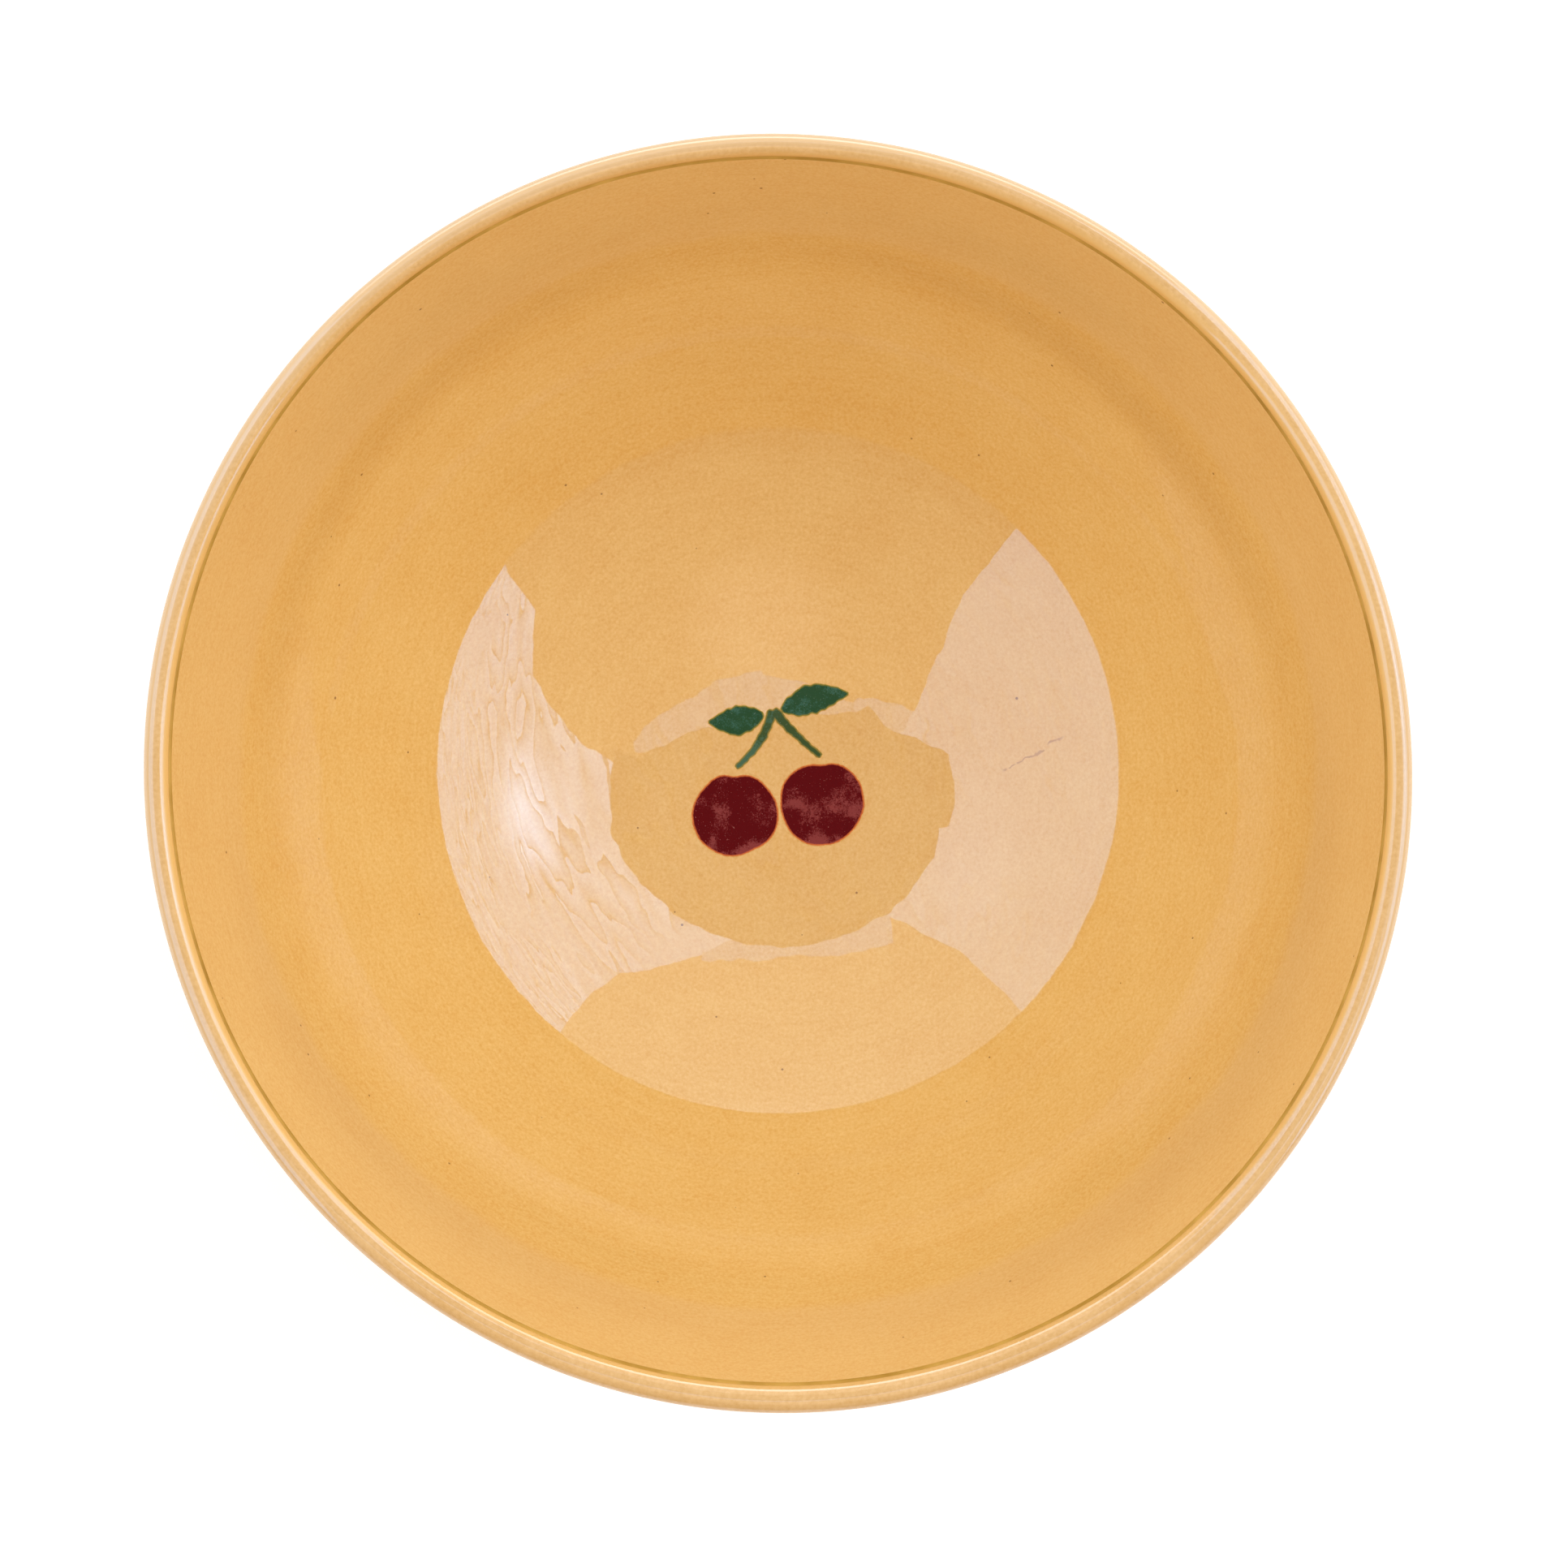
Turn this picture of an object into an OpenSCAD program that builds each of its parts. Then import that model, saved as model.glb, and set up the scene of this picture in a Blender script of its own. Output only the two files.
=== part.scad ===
// A deep hand-thrown stoneware bowl with a rolled lip and a turned foot, in a honey-coloured glaze.
// A pair of cherries is painted in the middle of the floor.
// The bowl stands on z = 0 about the Z axis. The painting reads upright with +Y away from the viewer.
// Every ring is one section turned about Z. The glazes are thin skins that share their faces with the
// clay, and the paint fills pockets in the inside glaze.

/* [Bowl] */
// Diameter over the outside of the lip
rim_d = 260; // [220:1:300]
// Depth of the inside, from the dark line at the lip down to the middle of the floor
depth = 100; // [80:1:120]
// Share of the depth that the shallow dish of the floor makes, the steep wall makes the rest
dish_share = 0.6; // [0.45:0.05:0.7]
// Thickness of the wall low down, over both glazes
wall_t = 7; // [5:0.5:10]
// Thickness of the clay in the middle of the floor
floor_t = 7; // [5:0.5:12]
// Thickness of a coat of glaze
glaze_t = 0.45; // [0.3:0.05:0.7]

/* [Lip] */
// Width of the lip, from the start of the dark line to the outside
lip_w = 5.6; // [4.5:0.1:8]
// Width of the dark line at the foot of the lip
line_w = 0.5; // [0.3:0.05:0.8]
// Height of the middle of the round lip above the dark line
lip_rise = 1.4; // [1:0.1:2.5]
// How far the dark line sinks between the wall and the lip
line_dip = 0.1; // [0:0.02:0.14]

/* [Foot] */
// Diameter over the outside of the foot
foot_d = 92; // [70:1:120]
// Width of the foot, from its outside to the hollow under the bowl
foot_w = 6; // [4.5:0.5:10]
// Depth of the hollow under the bowl, up to the clay
foot_h = 6; // [5.5:0.5:10]
// Rounding of the edges that stand on the table
foot_round = 1.2; // [0.6:0.1:1.6]
// Rounding of the inner corner of the hollow
hollow_round = 2; // [1.2:0.1:2.5]
// Reach of the hollow curve between the foot and the wall
neck_reach = 7; // [4:0.5:9]
// Height of the bare clay at the bottom of the foot
bare_h = 2.5; // [1.8:0.1:2.8]

/* [Painting] */
// Diameter of a painted cherry
cherry_d = 18.2; // [12:0.2:22]
// Gap between the two cherries
cherry_gap = 0.8; // [0.4:0.1:2]
// How much higher the right cherry hangs than the left one
cherry_step = 2.5; // [0:0.5:5]
// Height of the whole painting
painting_h = 37; // [34:0.5:44]
// Width of the stalks
stalk_w = 1.4; // [0.8:0.1:2]
// Diameter of the knot where the stalks meet
knot_d = 2.6; // [2.2:0.1:3.4]
// Gap between a stalk and its cherry, and between a leaf and the knot
brush_gap = 0.5; // [0.3:0.1:1]
// Length of the right leaf
long_leaf = 15.5; // [12:0.5:18]
// Length of the left leaf
short_leaf = 12.5; // [9:0.5:15]
// Width of a leaf
leaf_w = 6.2; // [4:0.2:7]
// How far the paint stands up from the glaze around it
paint_rise = 0.1; // [0.05:0.01:0.2]

/* [Hidden] */
$fn = 144;

// Steps along the wall's section and along a brush stroke or hollow curve, and the angle of one step
// of a small round
wall_steps = 44;
bend_steps = 10;
round_angle = 9;
// Power of the steep part of the wall's curve
wall_power = 6;
// Angle about the lip's middle at which the dark line ends and the lip's own glaze starts
line_angle = 205;

honey = "#E5AD61";
pale_honey = "#EEC287";
dark_line = "#8A5A28";
bare_clay = "#C9A27A";
oxblood = "#5E1210";
leaf_green = "#3E5A3C";
stalk_green = "#57502E";

line_r = rim_d / 2 - lip_w;
floor_z = foot_h + floor_t + glaze_t;
line_z = floor_z + depth;
foot_r = foot_d / 2;
hollow_r = foot_r - foot_w;
lip_r = (lip_w - line_w) / 2;
lip_middle = [rim_d / 2 - lip_r, line_z + lip_rise];

// Points of a round: from angle a to angle b about a middle
function arc(middle, r, a, b) =
    let (steps = ceil(abs(b - a) / round_angle))
    [for (i = [0:steps]) let (at = a + (b - a) * i / steps) middle + r * [cos(at), sin(at)]];

// Point at share t of a curve with one turning point
function bend(from, turn, to, t) = (1 - t) * (1 - t) * from + 2 * t * (1 - t) * turn + t * t * to;

function last(list) = list[len(list) - 1];
function backwards(list) = [for (i = [len(list) - 1:-1:0]) list[i]];

// The glazed inside at share u of the way out from the middle to the dark line: its point, its slope
// and the direction square to it, into the clay
function inside(u) =
    [line_r * u, floor_z + depth * (dish_share * u * u + (1 - dish_share) * pow(u, wall_power))];
function rise(u) = 2 * dish_share * u + wall_power * (1 - dish_share) * pow(u, wall_power - 1);
function slope(u) = atan(depth / line_r * rise(u));
function into(u) = [sin(slope(u)), -cos(slope(u))];

// The wall thins smoothly to the thickness at which its outside runs straight on into the round lip
lip_t = (lip_middle - inside(1)) * into(1) + lip_r;
function wall(u) = wall_t + (lip_t - wall_t) * u * u * (3 - 2 * u);

// The outside at share u, a distance out from the clay
function outside(u, out) = inside(u) + (wall(u) - glaze_t + out) * into(u);

// Share of the wall at which the clay's outside has a given radius, found by halving
function share_at(r, low = 0, high = 1, halvings = 30) =
    halvings == 0 ? low : let (mid = (low + high) / 2)
        outside(mid, 0)[0] < r ? share_at(r, mid, high, halvings - 1) : share_at(r, low, mid, halvings - 1);
neck_share = share_at(foot_r + neck_reach);

// The clay's inside skin, the round lip and the outside skin down to the side of the foot
function inside_line(into_clay) =
    [for (i = [0:wall_steps]) let (u = i / wall_steps) inside(u) + into_clay * into(u)];
function lip_line(out) = arc(lip_middle, lip_r - glaze_t + out, line_angle, slope(1) - 90);
function neck_line(out) =
    let (top = outside(neck_share, out),
         side = foot_r + out,
         turn = [side, top[1] - (top[0] - side) * tan(slope(neck_share))])
    [for (i = [1:bend_steps]) bend(top, turn, turn - [0, neck_reach], i / bend_steps)];
function outside_line(out) =
    concat([for (i = [0:wall_steps]) outside(1 - (1 - neck_share) * i / wall_steps, out)], neck_line(out));

// The hollow under the bowl, from its middle out and down to where the clay is bare
function hollow_line(out) =
    concat([[0, foot_h - out]],
           arc([hollow_r - hollow_round, foot_h - hollow_round], hollow_round - out, 90, 0));

module clay_body() {
    color(bare_clay)
        rotate_extrude()
            polygon(concat(inside_line(glaze_t), lip_line(0), outside_line(0),
                           [[foot_r, foot_h], [0, foot_h]]));
}

// The turned ring that the bowl stands on: bare clay where it meets the table
module foot_ring() {
    outer_edge = arc([foot_r - foot_round, foot_round], foot_round, 0, -90);
    inner_edge = arc([hollow_r + foot_round, foot_round], foot_round, -90, -180);
    hollow_corner = arc([hollow_r - hollow_round, foot_h - hollow_round], hollow_round, 0, 90);
    color(bare_clay)
        rotate_extrude()
            polygon(concat([[foot_r, foot_h]], outer_edge, inner_edge, hollow_corner));
}

module interior_glaze() {
    color(honey)
        difference() {
            rotate_extrude()
                polygon(concat(inside_line(glaze_t), backwards(inside_line(0))));
            painting_columns()
                painting();
        }
}

// Dark glaze that has pooled in the crease between the wall and the lip
module rim_line() {
    lip_start = lip_line(glaze_t)[0];
    crease = (inside(1) + lip_start) / 2 - [0, line_dip];
    color(dark_line)
        rotate_extrude()
            polygon([inside(1), crease, lip_start, lip_line(0)[0], inside(1) + glaze_t * into(1)]);
}

module rim_glaze() {
    color(pale_honey)
        rotate_extrude()
            polygon(concat(lip_line(glaze_t), backwards(lip_line(0))));
}

module exterior_glaze() {
    color(honey)
        rotate_extrude()
            polygon(concat([last(lip_line(glaze_t))], outside_line(glaze_t),
                           [[foot_r + glaze_t, bare_h + glaze_t], [foot_r, bare_h]],
                           backwards(outside_line(0)), [last(lip_line(0))]));
}

module base_glaze() {
    color(honey)
        rotate_extrude()
            polygon(concat(hollow_line(0), [[hollow_r, bare_h], [hollow_r - glaze_t, bare_h + glaze_t]],
                           backwards(hollow_line(glaze_t))));
}

// The painting, seen from above. The leaves start beside the knot.
left_cherry = [-(cherry_d + cherry_gap) / 2, (cherry_d - painting_h) / 2];
right_cherry = [(cherry_d + cherry_gap) / 2, left_cherry[1] + cherry_step];
long_leaf_turn = 14;
short_leaf_turn = 188;
// Where each stalk's curve turns, as shares of its reach across and up from the knot. Both hang away
// from the leaf above them.
left_turn_shares = [0.22, 0.6];
right_turn_shares = [0.42, 0.5];
stalk_tip_share = 0.75;
stalk_foot = [0, cherry_d / 2 + brush_gap + stalk_w / 2 * stalk_tip_share];
// A leaf is what two round discs of this size have in common. The knot hangs as far below the painting's
// top as the turned right leaf rises over it.
function leaf_disc_r(length) = (length * length + leaf_w * leaf_w) / (4 * leaf_w);
leaf_start = knot_d / 2 + brush_gap;
leaf_rise = (leaf_start + long_leaf / 2) * sin(long_leaf_turn) + leaf_w / 2 * cos(long_leaf_turn)
    + leaf_disc_r(long_leaf) * (1 - cos(long_leaf_turn));
knot = [-knot_d / 2, painting_h / 2 - leaf_rise];

module cherry_shapes() {
    for (place = [left_cherry, right_cherry])
        translate(place)
            circle(d = cherry_d);
}

// A pointed leaf that starts beside the knot
module leaf_shape(length, turn) {
    disc_r = leaf_disc_r(length);
    translate(knot)
        rotate(turn)
            translate([leaf_start + length / 2, 0])
                intersection() {
                    translate([0, disc_r - leaf_w / 2])
                        circle(disc_r);
                    translate([0, leaf_w / 2 - disc_r])
                        circle(disc_r);
                }
}

module leaf_shapes() {
    leaf_shape(long_leaf, long_leaf_turn);
    leaf_shape(short_leaf, short_leaf_turn);
}

// From the knot to a stalk's foot, to where its curve turns, and the angle at which it leaves the knot
function reach(cherry) = cherry + stalk_foot - knot;
function turning(cherry, shares) = [reach(cherry)[0] * shares[0], reach(cherry)[1] * shares[1]];
function leaving(cherry, shares) = atan2(turning(cherry, shares)[1], turning(cherry, shares)[0]);

// One side of a stalk, from just past the knot to its cherry, where it is a little thinner
function stalk_side(cherry, shares, side) =
    let (middles = [for (i = [0:bend_steps])
             bend(knot, knot + turning(cherry, shares), knot + reach(cherry), i / bend_steps)])
    [for (i = [2:bend_steps])
        let (ahead = middles[min(i + 1, bend_steps)] - middles[i - 1],
             half = stalk_w / 2 * (1 - (1 - stalk_tip_share) * i / bend_steps))
        middles[i] + side * half * [-ahead[1], ahead[0]] / norm(ahead)];

// Both stalks are one outline: up the left one, round the knot, out along the right one, back to the
// fork where their inner sides meet, and out along the left one
module stalk_shapes() {
    left_angle = leaving(left_cherry, left_turn_shares);
    right_angle = leaving(right_cherry, right_turn_shares);
    half_stalk = asin(stalk_w / knot_d);
    fork_angle = (left_angle + right_angle) / 2;
    fork = knot + stalk_w / 2 / sin(right_angle - fork_angle) * [cos(fork_angle), sin(fork_angle)];
    polygon(concat(backwards(stalk_side(left_cherry, left_turn_shares, -1)),
                   arc(knot, knot_d / 2, 360 + left_angle - half_stalk, right_angle + half_stalk),
                   stalk_side(right_cherry, right_turn_shares, 1),
                   backwards(stalk_side(right_cherry, right_turn_shares, -1)),
                   [fork],
                   stalk_side(left_cherry, left_turn_shares, 1)));
}

module painting() {
    cherry_shapes();
    leaf_shapes();
    stalk_shapes();
}

// Upright columns over flat shapes, from under the floor's glaze up past the paint
module painting_columns() {
    translate([0, 0, foot_h])
        linear_extrude(depth)
            children();
}

// Paint of a flat shape: it fills the glaze's pocket down to the clay and stands a little proud
module paint(shade) {
    color(shade)
        intersection() {
            rotate_extrude()
                polygon(concat(inside_line(glaze_t), backwards(inside_line(-paint_rise))));
            painting_columns()
                children();
        }
}

module painted_cherries() {
    paint(oxblood)
        cherry_shapes();
}

module painted_leaves() {
    paint(leaf_green)
        leaf_shapes();
}

module painted_stalks() {
    paint(stalk_green)
        stalk_shapes();
}

clay_body();
foot_ring();
interior_glaze();
rim_line();
rim_glaze();
exterior_glaze();
base_glaze();
painted_cherries();
painted_leaves();
painted_stalks();
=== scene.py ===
# %% [markdown]
# # A honey-glazed stoneware bowl, seen from straight above
# The real object is one fired pot. A potter throws the clay on a wheel, trims a foot under it,
# paints a small motif on the floor and dips the whole in a glossy honey glaze. Nothing on it comes
# apart, so the pieces here are its layers: clay, glazes, the dark line at the lip, the bare foot
# and the paint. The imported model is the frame. It fixes every size, and each piece made here stands
# for one node of it.

# %% Load the frame
import math

import bmesh
import bpy
import numpy as np
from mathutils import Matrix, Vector
from mathutils.bvhtree import BVHTree


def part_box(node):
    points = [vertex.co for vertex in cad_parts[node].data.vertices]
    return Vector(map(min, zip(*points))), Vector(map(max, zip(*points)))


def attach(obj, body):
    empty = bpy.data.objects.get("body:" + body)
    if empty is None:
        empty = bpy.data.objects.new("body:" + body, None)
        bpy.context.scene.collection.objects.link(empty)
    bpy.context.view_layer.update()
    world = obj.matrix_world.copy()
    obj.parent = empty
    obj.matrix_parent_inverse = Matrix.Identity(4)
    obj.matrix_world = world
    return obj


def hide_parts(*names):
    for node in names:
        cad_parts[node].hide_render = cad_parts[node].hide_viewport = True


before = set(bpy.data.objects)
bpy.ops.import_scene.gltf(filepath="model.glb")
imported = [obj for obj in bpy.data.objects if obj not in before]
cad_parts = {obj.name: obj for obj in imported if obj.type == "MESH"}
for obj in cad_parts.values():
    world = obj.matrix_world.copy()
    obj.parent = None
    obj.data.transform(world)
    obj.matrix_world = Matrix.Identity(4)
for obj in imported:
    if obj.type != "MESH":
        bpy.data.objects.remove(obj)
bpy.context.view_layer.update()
print("frame nodes:", sorted(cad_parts))

# %% [markdown]
# ## Sizes
# Most sizes are read from the frame's own boxes, so the looks can't drift away from the model. A
# few thin ones, such as a coat of glaze, can't be seen in a box. They are named here in metres.

# %% Sizes of the bowl
mm = 0.001
glaze_t = 0.45 * mm
lip_w = 5.6 * mm
line_w = 0.5 * mm
lip_rise = 1.4 * mm
line_dip = 0.1 * mm
wall_t = 7 * mm
neck_reach = 7 * mm
foot_round = 1.2 * mm
hollow_round = 2 * mm
dish_share = 0.6
wall_power = 6

rim_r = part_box("rim_glaze")[1].x
line_r = rim_r - lip_w
floor_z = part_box("interior_glaze")[0].z + glaze_t
line_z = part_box("interior_glaze")[1].z
depth = line_z - floor_z
foot_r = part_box("foot_ring")[1].x
foot_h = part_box("foot_ring")[1].z
hollow_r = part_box("base_glaze")[1].x
bare_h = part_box("base_glaze")[0].z
lip_r = (lip_w - line_w) / 2
lip_middle = np.array([rim_r - lip_r, line_z + lip_rise])
print(f"rim {2 * rim_r:.4f} m across, {depth:.4f} m deep, foot {2 * foot_r:.4f} m across")

# %% [markdown]
# ## The camera comes first
# The photograph looks straight down the bowl's axis through a long lens, because the lip and the
# dark line inside it are nearly concentric. The lens is worked out so that the rim fills the frame
# as it does there. The camera stands a few millimetres off the axis, which puts the bowl a few
# pixels off the middle.

# %% Camera
def add_object(name, data):
    made = bpy.data.objects.new(name, data)
    bpy.context.scene.collection.objects.link(made)
    return made


photo_px = 1932
rim_px = 1570
rim_centre_px = (958.7, 949.7)
camera_rise = 1.4
sensor_mm = 36
clip_range = (0.05, 20)

metres_per_px = 2 * rim_r / rim_px
camera_data = bpy.data.cameras.new("camera")
camera_data.sensor_width = sensor_mm
camera_data.lens = sensor_mm * camera_rise / (photo_px * metres_per_px)
camera_data.clip_start, camera_data.clip_end = clip_range
camera = add_object("camera", camera_data)
camera.location = (
    (photo_px / 2 - rim_centre_px[0]) * metres_per_px,
    (rim_centre_px[1] - photo_px / 2) * metres_per_px,
    lip_middle[1] + camera_rise,
)
bpy.context.scene.camera = camera
print(f"lens {camera_data.lens:.1f} mm, a pixel is {metres_per_px / mm:.3f} mm")

# %% [markdown]
# ## The bowl's section as a formula
# A potter shapes a bowl by one curve, its section. Here that curve is two terms: a shallow dish and
# a steep sixth power that turns up at the wall. Every skin follows from it. The outside is the
# inside moved out by the wall's thickness, square to the curve, and the round lip is an arc that
# the outside runs into.

# %% The inside skin
def inside(u):
    """Point (radius, height) of the glazed inside, at share u of the way out to the dark line."""
    u = np.asarray(u, float)
    height = floor_z + depth * (dish_share * u**2 + (1 - dish_share) * u**wall_power)
    return np.stack([line_r * u, height], -1)


def slope(u):
    u = np.asarray(u, float)
    rise = 2 * dish_share * u + wall_power * (1 - dish_share) * u ** (wall_power - 1)
    return np.arctan(depth / line_r * rise)


def into(u):
    """Direction from the inside skin square into the clay."""
    return np.stack([np.sin(slope(u)), -np.cos(slope(u))], -1)


print(f"the wall stands at {math.degrees(float(slope(1))):.1f} degrees under the lip")

# %% The outside skin, the lip and the neck of the foot
line_angle = 205
fine_steps = 4000
lip_end_angle = math.degrees(float(slope(1))) - 90
lip_t = float((lip_middle - inside(1)) @ into(1) + lip_r)


def outside(u, out):
    """Point of the outside, a distance out from the clay. The wall thins towards the lip."""
    u = np.asarray(u, float)
    wall = wall_t + (lip_t - wall_t) * u**2 * (3 - 2 * u)
    return inside(u) + (wall - glaze_t + out)[..., None] * into(u)


def arc(middle, radius, start, end, steps):
    turn = np.radians(np.linspace(start, end, steps + 1))
    return np.asarray(middle) + radius * np.stack([np.cos(turn), np.sin(turn)], -1)


def lip_line(out, steps):
    return arc(lip_middle, lip_r - glaze_t + out, line_angle, lip_end_angle, steps)


shares = np.linspace(0, 1, fine_steps + 1)
neck_share = float(np.interp(foot_r + neck_reach, outside(shares, 0)[:, 0], shares))


def neck_line(out, steps):
    """The hollow curve from the wall's lower end down to the side of the foot."""
    top = outside(neck_share, out)
    side = foot_r + out
    turn = np.array([side, top[1] - (top[0] - side) * math.tan(float(slope(neck_share)))])
    foot = turn - [0, neck_reach]
    t = np.linspace(0, 1, steps + 1)[1:, None]
    return (1 - t) ** 2 * top + 2 * t * (1 - t) * turn + t**2 * foot


print(f"wall {lip_t / mm:.2f} mm under the lip, the foot's neck starts at share {neck_share:.3f}")

# %% [markdown]
# ## Writing node trees as expressions
# A node tree written out one socket at a time is hard to read. A Wire holds one output socket and
# overloads the arithmetic operators, so `1 - mask * 2` adds its Math nodes by itself. Any other
# node comes from one method that takes its type, its settings, and the values or wires of its
# sockets. The same class serves the geometry tree of the wheel and all the materials.

# %% Wires and trees
class Wire:
    """One output socket. Arithmetic on it adds Math nodes to its tree."""

    def __init__(self, tree, socket):
        self.tree = tree
        self.socket = socket

    def math(self, operation, *values):
        sockets = dict(enumerate(values))
        return self.tree.node("ShaderNodeMath", {"operation": operation}, sockets)[0]

    def __add__(self, other):
        return self.math("ADD", self, other)

    def __sub__(self, other):
        return self.math("SUBTRACT", self, other)

    def __rsub__(self, other):
        return self.math("SUBTRACT", other, self)

    def __mul__(self, other):
        return self.math("MULTIPLY", self, other)

    def __truediv__(self, other):
        return self.math("DIVIDE", self, other)

    def __rtruediv__(self, other):
        return self.math("DIVIDE", other, self)

    __radd__ = __add__
    __rmul__ = __mul__

    def sin(self):
        return self.math("SINE", self)

    def cos(self):
        return self.math("COSINE", self)

    def beside(self, other):
        """The length of a line that is this wide and the other value high."""
        square = self * self + other * other
        return square.math("SQRT", square)

    def step(self, low, high):
        """0 below low and 1 above high, eased between them."""
        return self.tree.node("ShaderNodeMapRange", {"interpolation_type": "SMOOTHSTEP"},
                              {0: self, 1: low, 2: high})[0]


class Tree:
    """A node tree that is being written."""

    def __init__(self, nodes):
        self.nodes = nodes

    def node(self, kind, settings=None, sockets=None):
        """Adds a node: its settings, then its sockets by name or number. Returns its outputs."""
        made = self.nodes.nodes.new(kind)
        for name, value in (settings or {}).items():
            setattr(made, name, value)
        for name, value in (sockets or {}).items():
            if isinstance(value, Wire):
                self.nodes.links.new(value.socket, made.inputs[name])
            else:
                made.inputs[name].default_value = value
        return [Wire(self, socket) for socket in made.outputs if socket.enabled]

    def named(self, kind, settings=None):
        """Adds a node and returns its outputs by name."""
        return {wire.socket.name: wire for wire in self.node(kind, settings)}

    def vector(self, operation, *values):
        sockets = dict(enumerate(values))
        return self.node("ShaderNodeVectorMath", {"operation": operation}, sockets)[0]

    def scaled(self, vector, scale):
        sockets = {0: vector, "Scale": scale}
        return self.node("ShaderNodeVectorMath", {"operation": "SCALE"}, sockets)[0]

    def split(self, vector):
        return self.node("ShaderNodeSeparateXYZ", {}, {0: vector})

    def join(self, x, y, z):
        return self.node("ShaderNodeCombineXYZ", {}, {0: x, 1: y, 2: z})[0]

    def noise(self, vector, size, detail=3.0, roughness=0.5, seed=0.0):
        """Cloudy noise from 0 to 1, in blotches of about this size."""
        sockets = {"Vector": vector, "W": seed, "Scale": 1 / size, "Detail": detail,
                   "Roughness": roughness}
        return self.node("ShaderNodeTexNoise", {"noise_dimensions": "4D"}, sockets)[0]

    def blend(self, share, low, high):
        """A colour between two, by a share from 0 to 1."""
        return self.node("ShaderNodeMix", {"data_type": "RGBA"}, {0: share, 6: low, 7: high})[0]


# %% [markdown]
# ## The wheel
# Everything on the bowl but the painting is round about one axis, and the real one was turned on a
# wheel. So one Geometry Nodes tree plays the wheel. It makes a grid, one row for each point of a
# section and one column for each step round, and puts each point of the grid where its section
# point is when the wheel has turned that far. A hand-thrown bowl is never quite true, so the same
# tree adds what the photograph shows: a rim 1 percent longer one way than the other, a lip that
# leans half a millimetre to the near side, the potter's faint spiral of finger rings, and a slow
# unevenness of up to a tenth of a millimetre that makes reflections wavy.

# %% The wheel's inputs
wheel_numbers = (
    "Out Of Round", "Long Way", "Lean", "Lip Height", "Middle Height", "Ring Depth", "Ring Spacing",
    "Ring Reach", "Wave Depth", "Wave Size", "Wave Reach", "Still Below", "Seed",
)
wheel_inputs = {"Steps Around": "NodeSocketInt", **dict.fromkeys(wheel_numbers, "NodeSocketFloat"),
                "Finish": "NodeSocketMaterial"}
print("the wheel takes", len(wheel_inputs), "inputs and a section")

# %% The wheel as a geometry tree
weld_gap = 1e-6
calm_middle = (2 * mm, 8 * mm)
ring_fade = 0.5
wave_fade = 0.6


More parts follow.
